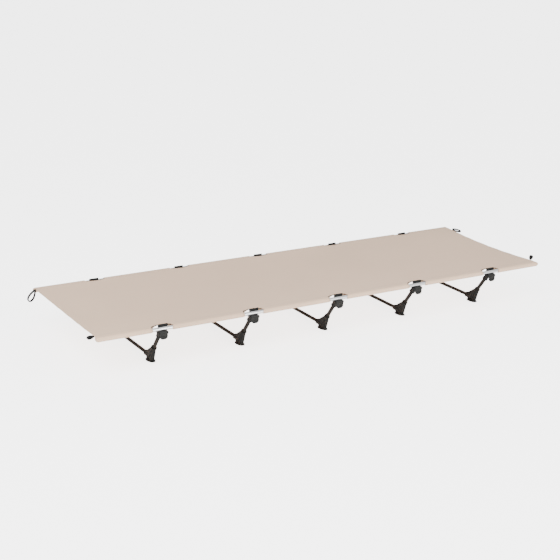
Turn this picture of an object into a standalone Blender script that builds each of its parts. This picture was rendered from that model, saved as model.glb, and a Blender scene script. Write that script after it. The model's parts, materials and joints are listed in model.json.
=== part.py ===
"""Pack-down camping cot: a fabric bed stretched between two tube rails on five low clip-on legs.

Metres, +Z up. The origin is on the ground under the middle of the bed. The rails run along X,
the front rail is on the -Y side, and leg 1 is the one nearest the -X end.
"""

import math

import bmesh
import bpy
from mathutils import Matrix, Vector

# The bed
BED_LENGTH = 1.900
RAIL_SPACING = 0.600  # from rail axis to rail axis
RAIL_HEIGHT = 0.148  # rail axis above the ground
SHEET_THICKNESS = 0.0016
END_CURVES = {"left": 0.002, "right": 0.018}  # how far each end edge is drawn in at its middle
SLEEVE_WALL = 0.0018
SLEEVE_END_WALL = 0.003
SLEEVE_OVERHANG = 0.004  # how far the sleeves reach past the sheet's corners
SLOT_LENGTH = 0.082  # each sleeve cut-out, along the rail
SLOT_DEPTH = 0.019  # each sleeve cut-out, inboard from the rail axis

# The rails
RAIL_RADIUS = 0.0065
RAIL_WALL = 0.001
RAIL_SECTIONS = 5
SPIGOT_LENGTH = 0.035
SPIGOT_WALL = 0.0009

# The legs
LEG_COUNT = 5
LEG_SPACING = 0.354
FOOT_SPACING = 0.400  # between the centres of a leg's two feet
ROD_HEIGHT = 0.0175  # cross rod axis above the ground
ROD_RADIUS = 0.0064
STRUT_RADIUS = 0.007

# The foot hubs
FOOT_LENGTH = 0.052
FOOT_WIDTH = 0.030
FOOT_HEIGHT = 0.006
FOOT_TAPER = 0.004  # how much less each way the foot is at its top
SOCKET_WALL = 0.003
ROD_SOCKET_REACH = 0.036  # from the hub's node, along each socket
STRUT_SOCKET_REACH = 0.052
SOCKET_INSERT = 0.026
GUSSET_THICKNESS = 0.013
COLLAR = 0.002  # how far each socket's mouth stands out of the web

# The rail clips and their latches
CLIP_WIDTH = 0.0366
CLIP_WALL = 0.0035
CLIP_SOCKET_LENGTH = 0.033
CLIP_SOCKET_FLOOR = 0.0015  # between the socket's bore and the jaw's wall
LIP_RISE = 0.0078  # above the rail's top
LIP_SHIFT = 0.006  # along the rail
EAR_THICKNESS = 0.003
EAR_RADIUS = 0.0048
PIVOT_OUT = 0.009  # latch pivot, outboard of the rail axis
PIN_RADIUS = 0.0018
LATCH_LENGTH = 0.022
LATCH_ROUNDING = 0.75  # the share of the tab's half-width that its lower corners take up
LATCH_THICKNESS = 0.0032
LATCH_RIM = 0.0035
LATCH_RECESS = 0.0011
CAM_THROW = 0.0024

# The corner pull loops: how far inboard of the rail axis each is sewn on, how far it reaches
# out, how broad it is, how far it has dropped from level, and whether its strap lies on its edge
LOOP_STRAP = 0.0018
LOOP_WIDTH = 0.012
LOOPS = {
    "front_left": {"inset": 0.018, "reach": 0.027, "breadth": 0.015, "drop_deg": 8.0, "lying": False},
    "back_left": {"inset": 0.018, "reach": 0.052, "breadth": 0.030, "drop_deg": 57.0, "lying": False},
    "front_right": {"inset": 0.036, "reach": 0.020, "breadth": 0.016, "drop_deg": -68.0, "lying": False},
    "back_right": {"inset": 0.068, "reach": 0.026, "breadth": 0.054, "drop_deg": 0.0, "lying": True},
}

# Clearances
GAP = 0.0003
RUNNING_GAP = 0.0004
SLEEVE_SLACK = 0.0007  # between a rail and its sleeve
EAR_CLEARANCE = 0.0012  # between the rail's underside and the latch's ears
CAM_CLEARANCE = 0.0015  # between the cam's sweep and the clip's saddle
CUT_PAST = 0.01  # how far a cutter runs past what it cuts

SLEEVE_BORE_RADIUS = RAIL_RADIUS + SLEEVE_SLACK
SLEEVE_RADIUS = SLEEVE_BORE_RADIUS + SLEEVE_WALL
RAIL_END = BED_LENGTH / 2 - SLEEVE_END_WALL - GAP
SHEET_TOP = RAIL_HEIGHT + SLEEVE_RADIUS
FRONT, BACK = -1, 1
SIDES = {"front": FRONT, "back": BACK}
ENDS = {"left": -1, "right": 1}

# Where a leg's parts meet, on its front half, in the leg's own YZ plane
NODE = Vector((0, -FOOT_SPACING / 2, ROD_HEIGHT))
RAIL_POINT = Vector((0, -RAIL_SPACING / 2, RAIL_HEIGHT))
PIVOT_DROP = RAIL_RADIUS + EAR_CLEARANCE + EAR_RADIUS
PIVOT = RAIL_POINT + Vector((0, -PIVOT_OUT, -PIVOT_DROP))
STRUT_LINE = (RAIL_POINT - NODE).normalized()
ACROSS_STRUT = Vector((0, STRUT_LINE.z, -STRUT_LINE.y))
CAM_LINE = (RAIL_POINT - PIVOT).normalized()
CAM_RADIUS = (RAIL_POINT - PIVOT).length - RAIL_RADIUS - RUNNING_GAP - CAM_THROW
CAM_SWEEP = CAM_RADIUS + CAM_THROW + RUNNING_GAP  # round the pivot, kept free for the cam
SADDLE_END = CAM_SWEEP + CAM_CLEARANCE - PIVOT_OUT
LIP_HEIGHT = RAIL_RADIUS + LIP_RISE
CLIP_SOCKET_START = RAIL_RADIUS + GAP + CLIP_WALL + CLIP_SOCKET_FLOOR  # from the rail axis
STRUT_TOP = (RAIL_POINT - NODE).length - CLIP_SOCKET_START - CLIP_SOCKET_FLOOR


def empty_scene():
    for thing in list(bpy.data.objects):
        bpy.data.objects.remove(thing, do_unlink=True)


def collection_named(name):
    made = bpy.data.collections.new(name)
    bpy.context.scene.collection.children.link(made)
    return made


def material(name, colour, roughness, metallic=0.0):
    made = bpy.data.materials.new(name)
    made.use_nodes = True
    shader = made.node_tree.nodes["Principled BSDF"]
    shader.inputs["Base Color"].default_value = (*colour, 1.0)
    shader.inputs["Roughness"].default_value = roughness
    shader.inputs["Metallic"].default_value = metallic
    return made


# Building blocks: each returns a loose object that a union or a cut then uses up


def loose(bm, name="block"):
    mesh = bpy.data.meshes.new(name)
    bm.to_mesh(mesh)
    bm.free()
    made = bpy.data.objects.new(name, mesh)
    bpy.context.scene.collection.objects.link(made)
    return made


def cylinder(start, end, radius, sides=16):
    """A round bar from start to end, with one flat of its outline facing along X or up."""
    start, end = Vector(start), Vector(end)
    along = end - start
    turn = along.to_track_quat("Z", "Y").to_matrix().to_4x4()
    bm = bmesh.new()
    bmesh.ops.create_cone(
        bm, cap_ends=True, segments=sides, radius1=radius, radius2=radius, depth=along.length,
        matrix=Matrix.Translation((start + end) / 2) @ turn @ Matrix.Rotation(math.pi / sides, 4, "Z"),
    )
    return loose(bm)


def box(x_low, x_high, corner, other):
    """A block between two values of x, and between two opposite corners seen along X."""
    low = Vector((x_low, min(corner.y, other.y), min(corner.z, other.z)))
    high = Vector((x_high, max(corner.y, other.y), max(corner.z, other.z)))
    size = Matrix.Diagonal((*(high - low), 1))
    bm = bmesh.new()
    bmesh.ops.create_cube(bm, size=1, matrix=Matrix.Translation((low + high) / 2) @ size)
    return loose(bm)


def cross_bar(x_low, x_high, centre, radius, sides=16):
    """A round bar along X between two values of x."""
    along = Vector((1, 0, 0))
    return cylinder(centre + along * x_low, centre + along * x_high, radius, sides)


def oval(centre, half_length_x, half_length_y, height, taper=0.0, sides=20):
    """An upright oval block that stands on centre and gets smaller upwards by taper."""
    bm = bmesh.new()
    bmesh.ops.create_cone(bm, cap_ends=True, segments=sides, radius1=1, radius2=1, depth=height)
    for vertex in bm.verts:
        less = taper if vertex.co.z > 0 else 0.0
        vertex.co.x *= half_length_x - less
        vertex.co.y *= half_length_y - less
    bmesh.ops.translate(bm, verts=bm.verts, vec=Vector(centre) + Vector((0, 0, height / 2)))
    return loose(bm)


def plate(outline, thickness, frame):
    """A flat outline in its own XY plane, thickened evenly both ways, then placed by frame."""
    curve = bpy.data.curves.new("outline", "CURVE")
    curve.dimensions = "2D"
    curve.fill_mode = "BOTH"
    curve.extrude = thickness / 2
    spline = curve.splines.new("POLY")
    spline.points.add(len(outline) - 1)
    for point, (x, y) in zip(spline.points, outline):
        point.co = (x, y, 0, 1)
    spline.use_cyclic_u = True
    drawn = bpy.data.objects.new("outline", curve)
    bpy.context.scene.collection.objects.link(drawn)
    mesh = evaluated_mesh(drawn)
    bpy.data.objects.remove(drawn)
    bm = bmesh.new()
    bm.from_mesh(mesh)
    bmesh.ops.remove_doubles(bm, verts=bm.verts, dist=1e-6)
    bmesh.ops.recalc_face_normals(bm, faces=bm.faces)
    bmesh.ops.transform(bm, matrix=frame, verts=bm.verts)
    return loose(bm)


def evaluated_mesh(thing):
    graph = bpy.context.evaluated_depsgraph_get()
    graph.update()
    return bpy.data.meshes.new_from_object(thing.evaluated_get(graph))


def combined(name, base, added=(), removed=()):
    """One mesh: base joined to each of added and then cut by each of removed."""
    for tool, operation in [(t, "UNION") for t in added] + [(t, "DIFFERENCE") for t in removed]:
        step = base.modifiers.new(operation.lower(), "BOOLEAN")
        step.object = tool
        step.operation = operation
        step.solver = "EXACT"
    mesh = evaluated_mesh(base)
    mesh.name = name
    for used in (base, *added, *removed):
        bpy.data.objects.remove(used)
    return mesh


def smooth(mesh, angle=math.radians(35)):
    mesh.shade_smooth()
    mesh.set_sharp_from_angle(angle=angle)
    return mesh


# The bed


def end_edge(y, end_name):
    """How far from the middle of the bed the sheet's end edge is at y."""
    across = y / (RAIL_SPACING / 2)
    return BED_LENGTH / 2 - SLEEVE_OVERHANG - END_CURVES[end_name] * (1 - across**2)


def sheet_outline():
    """The sheet seen from above, with each end edge an arc drawn in between the rails."""
    steps = 10
    across = [RAIL_SPACING * (i / steps - 0.5) for i in range(steps + 1)]
    right = [(end_edge(y, "right"), y) for y in across]
    return right + [(-end_edge(y, "left"), y) for y in reversed(across)]


def leg_places():
    return [(i - (LEG_COUNT - 1) / 2) * LEG_SPACING for i in range(LEG_COUNT)]


def fabric_mesh():
    """The sheet with a sleeve along each side, which is cut away where the legs clip on."""
    middle = SHEET_TOP - SHEET_THICKNESS / 2
    sheet = plate(sheet_outline(), SHEET_THICKNESS, Matrix.Translation((0, 0, middle)))
    sleeves, cuts = [], []
    for side in SIDES.values():
        y = side * RAIL_SPACING / 2
        ends = [(x * BED_LENGTH / 2, y, RAIL_HEIGHT) for x in (-1, 1)]
        bores = [(x * (RAIL_END + GAP), y, RAIL_HEIGHT) for x in (-1, 1)]
        sleeves.append(cylinder(*ends, SLEEVE_RADIUS))
        cuts.append(cylinder(*bores, SLEEVE_BORE_RADIUS, 16))
        for x in leg_places():
            low = (x, y, RAIL_HEIGHT - 2 * SLEEVE_RADIUS)
            cuts.append(oval(low, SLOT_LENGTH / 2, SLOT_DEPTH, 4 * SLEEVE_RADIUS, sides=20))
    return combined("fabric", sheet, sleeves, cuts)


def rail_section_mesh(length, with_spigot):
    """A tube along X from the origin, with a narrower spigot at its far end if it has one."""
    outer, bore = RAIL_RADIUS, RAIL_RADIUS - RAIL_WALL
    spigot = bore - GAP
    spigot_bore = spigot - SPIGOT_WALL
    profile = [(outer, 0), (bore, 0)]
    if with_spigot:
        profile += [(bore, length - SPIGOT_LENGTH), (spigot_bore, length - SPIGOT_LENGTH)]
        profile += [(spigot_bore, length + SPIGOT_LENGTH), (spigot, length + SPIGOT_LENGTH)]
        profile += [(spigot, length), (outer, length)]
    else:
        profile += [(bore, length), (outer, length)]
    bm = bmesh.new()
    corners = [bm.verts.new((radius, 0, along)) for radius, along in profile]
    for first, second in zip(corners, corners[1:] + corners[:1]):
        bm.edges.new((first, second))
    drawn = loose(bm, "rail_section")
    screw = drawn.modifiers.new("turned", "SCREW")
    screw.steps = screw.render_steps = 16
    screw.use_merge_vertices = True
    screw.merge_threshold = 1e-5
    mesh = combined("rail_section", drawn)
    mesh.transform(Matrix.Rotation(math.pi / 2, 4, "Y"))
    return smooth(mesh)


def bar_mesh(start, end, radius):
    """A solid round bar from start to end."""
    bar = cylinder(start, end, radius)
    mesh = bar.data
    bpy.data.objects.remove(bar)
    return smooth(mesh)


# A leg's front half; its back half is the same parts turned half a turn about Z


def at_strut(distance, across=0.0):
    """A point on the strut's axis, or across it towards the middle of the bed."""
    return NODE + STRUT_LINE * distance + ACROSS_STRUT * across


def at_rail(out, up):
    """A point in the leg's YZ plane, outboard of and above the rail's axis."""
    return RAIL_POINT + Vector((0, -out, up))


def upright(y):
    """Turns an outline in XY into one in the leg's YZ plane, placed at y."""
    return Matrix.Translation((0, y, 0)) @ Matrix(
        ((0, 0, 1, 0), (1, 0, 0, 0), (0, 1, 0, 0), (0, 0, 0, 1))
    )


def hub_mesh():
    """The foot: an oval base, a socket for the cross rod, one for the strut and a web between."""
    rod_mouth = NODE + Vector((0, ROD_SOCKET_REACH, 0))
    rod_bore = rod_mouth - Vector((0, SOCKET_INSERT, 0))
    base = oval((0, NODE.y, 0), FOOT_WIDTH / 2, FOOT_LENGTH / 2, FOOT_HEIGHT, FOOT_TAPER)
    heel = FOOT_LENGTH / 2 - 2 * FOOT_TAPER
    below_mouth = STRUT_SOCKET_REACH - COLLAR
    corners = [
        NODE + Vector((0, -heel, FOOT_HEIGHT / 2 - ROD_HEIGHT)),
        NODE + Vector((0, heel, FOOT_HEIGHT / 2 - ROD_HEIGHT)),
        rod_mouth + Vector((0, -COLLAR, 0)),
        rod_mouth + Vector((0, -COLLAR, ROD_RADIUS)),
        at_strut(below_mouth, STRUT_RADIUS),
        at_strut(below_mouth, -STRUT_RADIUS),
    ]
    web = plate([(corner.y, corner.z) for corner in corners], GUSSET_THICKNESS, upright(0))
    rod_socket = cylinder(NODE, rod_mouth, ROD_RADIUS + SOCKET_WALL)
    strut_socket = cylinder(NODE, at_strut(STRUT_SOCKET_REACH), STRUT_RADIUS + SOCKET_WALL)
    bores = [
        cylinder(rod_bore, rod_mouth + Vector((0, CUT_PAST, 0)), ROD_RADIUS + GAP),
        cylinder(
            at_strut(STRUT_SOCKET_REACH - SOCKET_INSERT),
            at_strut(STRUT_SOCKET_REACH + CUT_PAST),
            STRUT_RADIUS + GAP,
        ),
    ]
    return smooth(combined("foot_hub", base, [web, rod_socket, strut_socket], bores))


def clip_mesh():
    """A socket for the strut's top, a jaw that is open upwards for the rail, and the latch's ears."""
    half, inner = CLIP_WIDTH / 2, RAIL_RADIUS + GAP
    back = inner + CLIP_WALL
    reach = (RAIL_POINT - NODE).length
    top = reach - CLIP_SOCKET_START
    mouth = top - CLIP_SOCKET_LENGTH
    saddle = box(-half, half, at_rail(-SADDLE_END, -PIVOT_DROP), at_rail(-back, 0))
    lip_foot, lip_top = at_rail(-inner, -inner), at_rail(-back, LIP_HEIGHT)
    lip = box(LIP_SHIFT - half, LIP_SHIFT + half, lip_foot, lip_top)
    socket = cylinder(at_strut(mouth), at_strut(top), STRUT_RADIUS + SOCKET_WALL)
    ears = []
    ear_low = at_rail(PIVOT_OUT, -PIVOT_DROP - EAR_RADIUS)
    ear_high = at_rail(-inner, -PIVOT_DROP + EAR_RADIUS)
    for x in (-half, half - EAR_THICKNESS):
        ears.append(box(x, x + EAR_THICKNESS, ear_low, ear_high))
        ears.append(cross_bar(x, x + EAR_THICKNESS, PIVOT, EAR_RADIUS))
    past = half + LIP_SHIFT + CUT_PAST
    outside = at_rail(PIVOT_OUT + EAR_RADIUS + CUT_PAST, LIP_HEIGHT + CUT_PAST)
    cuts = [
        cylinder(at_strut(mouth - CUT_PAST), at_strut(STRUT_TOP + GAP), STRUT_RADIUS + GAP),
        cross_bar(-past, past, RAIL_POINT, inner, 20),
        box(-past, past, at_rail(-inner, 0), outside),
        cross_bar(-past, past, PIVOT, PIN_RADIUS + GAP, 12),
        cross_bar(EAR_THICKNESS - half, half - EAR_THICKNESS, PIVOT, CAM_SWEEP),
    ]
    return smooth(combined("rail_clip", saddle, [lip, socket, *ears], cuts))


def latch_outline(margin=0.0):
    """The latch's tab seen from outside, with round lower corners, from its pivot down."""
    half = CLIP_WIDTH / 2 - EAR_THICKNESS - RUNNING_GAP - margin
    low = -LATCH_LENGTH + margin
    corner = LATCH_ROUNDING * half
    points, steps = [(-half, 0), (-half, low + corner)], 6
    for i in range(1, steps):
        angle = math.pi / 2 * i / steps
        inward, upward = 1 - math.cos(angle), 1 - math.sin(angle)
        points.append((-half + corner * inward, low + corner * upward))
    points.append((-half + corner, low))
    return points + [(-x, z) for x, z in reversed(points)]


def latch_mesh():
    """A cam that bears up on the rail, with a tab hanging from it and a pin at each end."""
    half = CLIP_WIDTH / 2 - EAR_THICKNESS - RUNNING_GAP
    facing = Matrix(((1, 0, 0, 0), (0, 0, 1, 0), (0, 1, 0, 0), (0, 0, 0, 1)))
    tab_middle = Vector((0, -CAM_RADIUS + LATCH_THICKNESS / 2, 0))
    tab = plate(latch_outline(), LATCH_THICKNESS, Matrix.Translation(tab_middle) @ facing)
    face = Vector((0, -CAM_RADIUS, -LATCH_RIM))
    recess = plate(latch_outline(LATCH_RIM), 2 * LATCH_RECESS, Matrix.Translation(face) @ facing)
    cam = cross_bar(-half, half, CAM_LINE * CAM_THROW, CAM_RADIUS)
    pin = cross_bar(-CLIP_WIDTH / 2, CLIP_WIDTH / 2, Vector(), PIN_RADIUS, 12)
    return smooth(combined("latch", tab, [cam, pin], [recess]))


# The pull loops


def loop_outline(reach, breadth, lying, inset):
    """A ring that starts at the origin and reaches out along X, a teardrop unless it lies flat."""
    points, steps = [], 18
    for i in range(steps):
        turn = 2 * math.pi * i / steps
        along = (1 - math.cos(turn)) / 2
        narrowing = 1.0 if lying else math.sqrt(along)
        across = (breadth / 2 - inset) * math.sin(turn) * narrowing
        points.append((inset + along * (reach - 2 * inset), across))
    return points


def loop_mesh(reach, breadth, lying):
    """A ring of webbing that is hinged at the origin."""
    standing = Matrix() if lying else Matrix.Rotation(math.pi / 2, 4, "X")
    outer = plate(loop_outline(reach, breadth, lying, 0), LOOP_WIDTH, standing)
    hole = plate(loop_outline(reach, breadth, lying, LOOP_STRAP), 2 * LOOP_WIDTH, standing)
    return smooth(combined("pull_loop", outer, [], [hole]))


# The whole cot


def place(name, mesh, paint, home, parent=None, location=(0, 0, 0), turn=(0, 0, 0)):
    made = bpy.data.objects.new(name, mesh)
    home.objects.link(made)
    if not mesh.materials:
        mesh.materials.append(paint)
    made.parent = parent
    made.location = location
    made.rotation_euler = turn
    return made


def add_rails(home, paint):
    section = 2 * RAIL_END / RAIL_SECTIONS
    tube = rail_section_mesh(section - GAP, True)
    last_tube = rail_section_mesh(section - GAP, False)
    for side_name, side in SIDES.items():
        for i in range(RAIL_SECTIONS):
            mesh = tube if i < RAIL_SECTIONS - 1 else last_tube
            start = (-RAIL_END + i * section, side * RAIL_SPACING / 2, RAIL_HEIGHT)
            place(f"{side_name}_rail_section_{i + 1}", mesh, paint, home, location=start)


def add_legs(home, plastic, tube_paint, lever_paint):
    hub, clip, latch = hub_mesh(), clip_mesh(), latch_mesh()
    rod_end = NODE.y + ROD_SOCKET_REACH - SOCKET_INSERT + GAP
    rod = bar_mesh((0, rod_end, ROD_HEIGHT), (0, -rod_end, ROD_HEIGHT), ROD_RADIUS)
    strut_low = at_strut(STRUT_SOCKET_REACH - SOCKET_INSERT + GAP)
    strut = bar_mesh(strut_low, at_strut(STRUT_TOP), STRUT_RADIUS)
    for number, x in enumerate(leg_places(), 1):
        leg = bpy.data.objects.new(f"leg_{number}", None)
        home.objects.link(leg)
        leg.location = (x, 0, 0)
        place(f"leg_{number}_cross_rod", rod, tube_paint, home, leg)
        for side_name, side in SIDES.items():
            label = f"leg_{number}_{side_name}"
            half_turn = (0, 0, 0 if side == FRONT else math.pi)
            place(f"{label}_foot_hub", hub, plastic, home, leg, turn=half_turn)
            place(f"{label}_strut", strut, tube_paint, home, leg, turn=half_turn)
            place(f"{label}_rail_clip", clip, plastic, home, leg, turn=half_turn)
            pivot = (0, -side * PIVOT.y, PIVOT.z)
            place(f"{label}_latch", latch, lever_paint, home, leg, pivot, half_turn)


def add_loops(home, paint):
    for side_name, side in SIDES.items():
        for end_name, end in ENDS.items():
            shape = LOOPS[f"{side_name}_{end_name}"]
            y = side * (RAIL_SPACING / 2 - shape["inset"])
            away = GAP + (LOOP_STRAP if shape["lying"] else 0.5 * LOOP_STRAP)
            hinge = (end * (end_edge(y, end_name) + away), y, SHEET_TOP - SHEET_THICKNESS / 2)
            loop = loop_mesh(shape["reach"], shape["breadth"], shape["lying"])
            turn = (0, math.radians(shape["drop_deg"]), 0 if end > 0 else math.pi)
            place(f"{side_name}_{end_name}_pull_loop", loop, paint, home, None, hinge, turn)


def main():
    empty_scene()
    home = collection_named("folding_cot")
    cloth = material("cot_fabric", (0.62, 0.53, 0.45), 0.85)
    aluminium = material("rail_aluminium", (0.80, 0.81, 0.82), 0.28, 1.0)
    dark_tube = material("leg_tube", (0.035, 0.030, 0.028), 0.38, 0.6)
    plastic = material("black_plastic", (0.030, 0.030, 0.030), 0.5)
    lever = material("latch_plastic", (0.075, 0.075, 0.07), 0.45)
    webbing = material("black_webbing", (0.02, 0.02, 0.02), 0.8)
    place("fabric", fabric_mesh(), cloth, home)
    add_rails(home, aluminium)
    add_legs(home, plastic, dark_tube, lever)
    add_loops(home, webbing)


main()
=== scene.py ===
"""The looks of a pack-down camping cot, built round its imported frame. Metres, +Z up.

The rails run along X and the front rail is on the -Y side. A leg's pieces are modelled once, on the
front half of a leg that stands at X = 0, and its back half is the same pieces turned half a turn.
"""

import json
import math

import bmesh
import bpy
from mathutils import Matrix, Vector, noise


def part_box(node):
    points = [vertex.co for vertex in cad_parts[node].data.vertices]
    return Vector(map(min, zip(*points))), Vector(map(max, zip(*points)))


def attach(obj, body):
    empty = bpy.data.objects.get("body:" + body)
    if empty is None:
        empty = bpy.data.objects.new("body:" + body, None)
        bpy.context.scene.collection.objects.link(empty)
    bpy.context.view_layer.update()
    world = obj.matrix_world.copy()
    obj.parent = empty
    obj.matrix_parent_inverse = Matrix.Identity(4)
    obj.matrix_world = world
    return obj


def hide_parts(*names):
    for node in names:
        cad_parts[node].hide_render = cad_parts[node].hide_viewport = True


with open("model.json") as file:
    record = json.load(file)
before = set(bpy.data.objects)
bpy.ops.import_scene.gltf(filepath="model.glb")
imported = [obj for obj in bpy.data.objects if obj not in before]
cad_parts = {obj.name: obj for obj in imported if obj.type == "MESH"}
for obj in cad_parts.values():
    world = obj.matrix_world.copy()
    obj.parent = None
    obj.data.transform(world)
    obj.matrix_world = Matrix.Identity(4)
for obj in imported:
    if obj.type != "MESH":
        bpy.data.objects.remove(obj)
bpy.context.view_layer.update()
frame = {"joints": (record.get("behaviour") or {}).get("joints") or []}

UP = Vector((0, 0, 1))
HALF_TURN = Matrix.Rotation(math.pi, 4, "Z")
SIDES = {"front": -1, "back": 1}
ENDS = {"left": -1, "right": 1}

# Places that the frame gives
rail_low, rail_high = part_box("front_rail_section_1")
fabric_low, fabric_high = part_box("fabric")
RAIL_POINT = (rail_low + rail_high) / 2 * Vector((0, 1, 1))  # the front rail's axis
RAIL_RADIUS = (rail_high.z - rail_low.z) / 2
HALF_LENGTH = fabric_high.x
HALF_WIDTH = -RAIL_POINT.y
LEG_X = [sum(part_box(f"leg_{n}_cross_rod"), Vector()).x / 2 for n in range(1, 6)]
PIVOT = Vector(next(j["pos_m"] for j in frame["joints"] if j["name"] == "leg_3_front_latch_flip"))
LOOP_HINGES = {j["child"]: Vector(j["pos_m"]) for j in frame["joints"] if "loop" in j["name"]}

# The camera
CAMERA_PLACE = (-2.4314, -4.0199, 1.6217)
CAMERA_YAW, CAMERA_PITCH, CAMERA_ROLL = 0.5309, 0.3070, 0.0160
CAMERA_LENS = 82.12
# How strongly each glows on the cot, and how strongly to the camera, which sees them near white
FLOOR_GLOW = 0.6, 3.4
WORLD_GLOW = 1.05, 4.5

# The cloth
CLOTH = 0.0009  # its thickness
SLEEVE_RADIUS = 0.0083  # from the rail's axis to the middle of the cloth
SLOT_LENGTH, SLOT_DEPTH = 0.082, 0.019  # the cut-out for a clip, whose middle is on the rail
SLOT_STEPS = 10
SEAM_STEP = 2  # the slot's step that the sleeve's seam runs through
CELL = 0.010
END_CURVES = {-1: 0.002, 1: 0.018}  # how far each end edge is drawn in at its middle
CORNER_INSET = 0.004  # from a sleeve's tip to the sheet's end edge beside it
TIP_START, TIP_BLEND = 0.014, 0.008  # where the end edge turns out to a tip, inboard of the rail
HEM = 0.022
SAG = 0.0035
STITCH, STITCH_PITCH = 0.0028, 0.0040
THREAD = 0.0006
BINDING_WIDTH, BINDING = 0.0030, 0.0018
SLOT_MARGIN = 0.002  # how far the stitches keep from a slot's rim
EDGE_MARGIN = 0.003  # how far the stitches keep from an edge
SEAM_PAIR = -0.0015, 0.0035  # the seam's two rows of stitches, inboard of the seam
TIP_CLOSING, TIP_RISE = 0.009, 0.002  # where a sleeve's tip starts to close, and how high it shuts
TIP_FULL = 0.006  # how far inboard of the rail's axis a tip closes in full
TIP_OPEN, TIP_NARROW = 0.05, 0.45  # the shares of its height and width that a shut tip keeps
SLOW_WAVE = 0.0009
RIPPLE, RIPPLE_PITCH, RIPPLE_FADE = 0.0004, 0.085, 0.07  # along each end edge
CREASE, CREASE_PITCH = 0.0007, 0.034  # inboard of each slot
CREASE_REACH, CREASE_FADE = 0.06, 0.05  # along the bed and across it
CREASE_END, CREASE_START = 0.2, 0.01  # none further along than this, and full from here inboard

# The rails
SPIGOT_LENGTH, SPIGOT_WALL = 0.035, 0.0009
RAIL_WALL, RAIL_CHAMFER = 0.001, 0.0003

# The legs
GAP = 0.0003
RUNNING_GAP = 0.0004
CUT_PAST = 0.01  # how far a cutter runs past what it cuts
NODE = Vector((0, -0.200, 0.0175))  # where the cross rod's axis meets the strut's
ROD_RADIUS, STRUT_RADIUS = 0.0064, 0.007
FOOT_LENGTH, FOOT_WIDTH, FOOT_HEIGHT, FOOT_TAPER = 0.052, 0.030, 0.006, 0.004
SOLE = 0.0022
SOLE_FLANGE = 0.0006
TREAD_PITCH, TREAD_GROOVE, TREAD_DEPTH = 0.0050, 0.0006, 0.0008
SOCKET_WALL = 0.003
TUBE_CHAMFER = 0.0006
COLLAR, COLLAR_RISE, COLLAR_SET = 0.005, 0.0009, 0.002  # the thicker ring at a socket's mouth
ROD_SOCKET_REACH, STRUT_SOCKET_REACH, SOCKET_INSERT = 0.036, 0.052, 0.026
WEB = 0.013
CLIP_WIDTH, CLIP_WALL, CLIP_SOCKET = 0.0366, 0.0035, 0.033
CLIP_FLOOR, JAW_STEP = 0.0015, 0.0006
CLIP_RIBS, CLIP_RIB = (-0.011, 0.0, 0.011), 0.0018
LIP_HEIGHT, LIP_SHIFT = 0.0143, 0.006
EAR, EAR_RADIUS = 0.003, 0.0048
PIN_RADIUS, PIN_PROUD = 0.0018, 0.0002
TAB_LENGTH, TAB, TAB_RIM, TAB_RECESS = 0.022, 0.0032, 0.0035, 0.0011
CAM_THROW, CAM_RADIUS, CAM_CLEARANCE = 0.0024, 0.0061, 0.0015
GRIP_RIB, GRIP_PITCH, GRIP_START = 0.0008, 0.0026, 0.0058  # the ribs low on the latch's face
STRUT_LINE = (RAIL_POINT - NODE).normalized()
ACROSS_STRUT = Vector((0, STRUT_LINE.z, -STRUT_LINE.y))
STRUT_REACH = (RAIL_POINT - NODE).length
JAW = RAIL_RADIUS + GAP
CLIP_SOCKET_TOP = STRUT_REACH - JAW - CLIP_WALL - CLIP_FLOOR

# The pull loops: reach out from the hinge, breadth, drop from level, and whether the strap lies flat
LOOP_STRAP, LOOP_WIDTH = 0.0018, 0.012
LOOP_THICKNESS = 0.0040
LYING_WIDTH = 0.006  # the width of a strap that lies flat on its edge
LOOP_ROOT = 0.020  # how much of a loop's strap is sewn under the sheet
ROOT_DROP = 0.0031  # from the sheet's top to the middle of the strap sewn under it
LOOPS = {
    "front_left": (0.027, 0.015, 8, False),
    "back_left": (0.052, 0.030, 57, False),
    "front_right": (0.020, 0.016, -68, False),
    "back_right": (0.026, 0.054, 0, True),
}


# The camera, the floor and the light


def add_camera():
    """The camera's axes follow from its yaw to the right of +Y, its pitch downwards and its roll."""
    right = Vector((math.cos(CAMERA_YAW), -math.sin(CAMERA_YAW), 0))
    ahead = Vector((
        math.sin(CAMERA_YAW) * math.cos(CAMERA_PITCH),
        math.cos(CAMERA_YAW) * math.cos(CAMERA_PITCH),
        -math.sin(CAMERA_PITCH),
    ))
    above = right.cross(ahead)
    side = right * math.cos(CAMERA_ROLL) + above * math.sin(CAMERA_ROLL)
    top = above * math.cos(CAMERA_ROLL) - right * math.sin(CAMERA_ROLL)
    data = bpy.data.cameras.new("camera")
    data.lens = CAMERA_LENS
    data.clip_end = 100
    camera = bpy.data.objects.new("camera", data)
    bpy.context.scene.collection.objects.link(camera)
    facing = Matrix((side, top, -ahead)).transposed().to_4x4()
    camera.matrix_world = Matrix.Translation(CAMERA_PLACE) @ facing
    bpy.context.scene.camera = camera


def add_light(name, place, target, size, watts):
    data = bpy.data.lights.new(name, "AREA")
    data.shape = "DISK"
    data.size = size
    data.energy = watts
    lamp = bpy.data.objects.new(name, data)
    bpy.context.scene.collection.objects.link(lamp)
    lamp.location = place
    lamp.rotation_euler = (Vector(target) - Vector(place)).to_track_quat("-Z", "Y").to_euler()


def glow_apart(tree, glow, socket):
    """Gives a strength socket of the studio one value on the cot and another to the eye."""
    seen = tree.nodes.new("ShaderNodeLightPath").outputs["Is Camera Ray"]
    chosen = tree.nodes.new("ShaderNodeMapRange")
    tree.links.new(seen, chosen.inputs["Value"])
    chosen.inputs["To Min"].default_value, chosen.inputs["To Max"].default_value = glow
    tree.links.new(chosen.outputs["Result"], socket)


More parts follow.
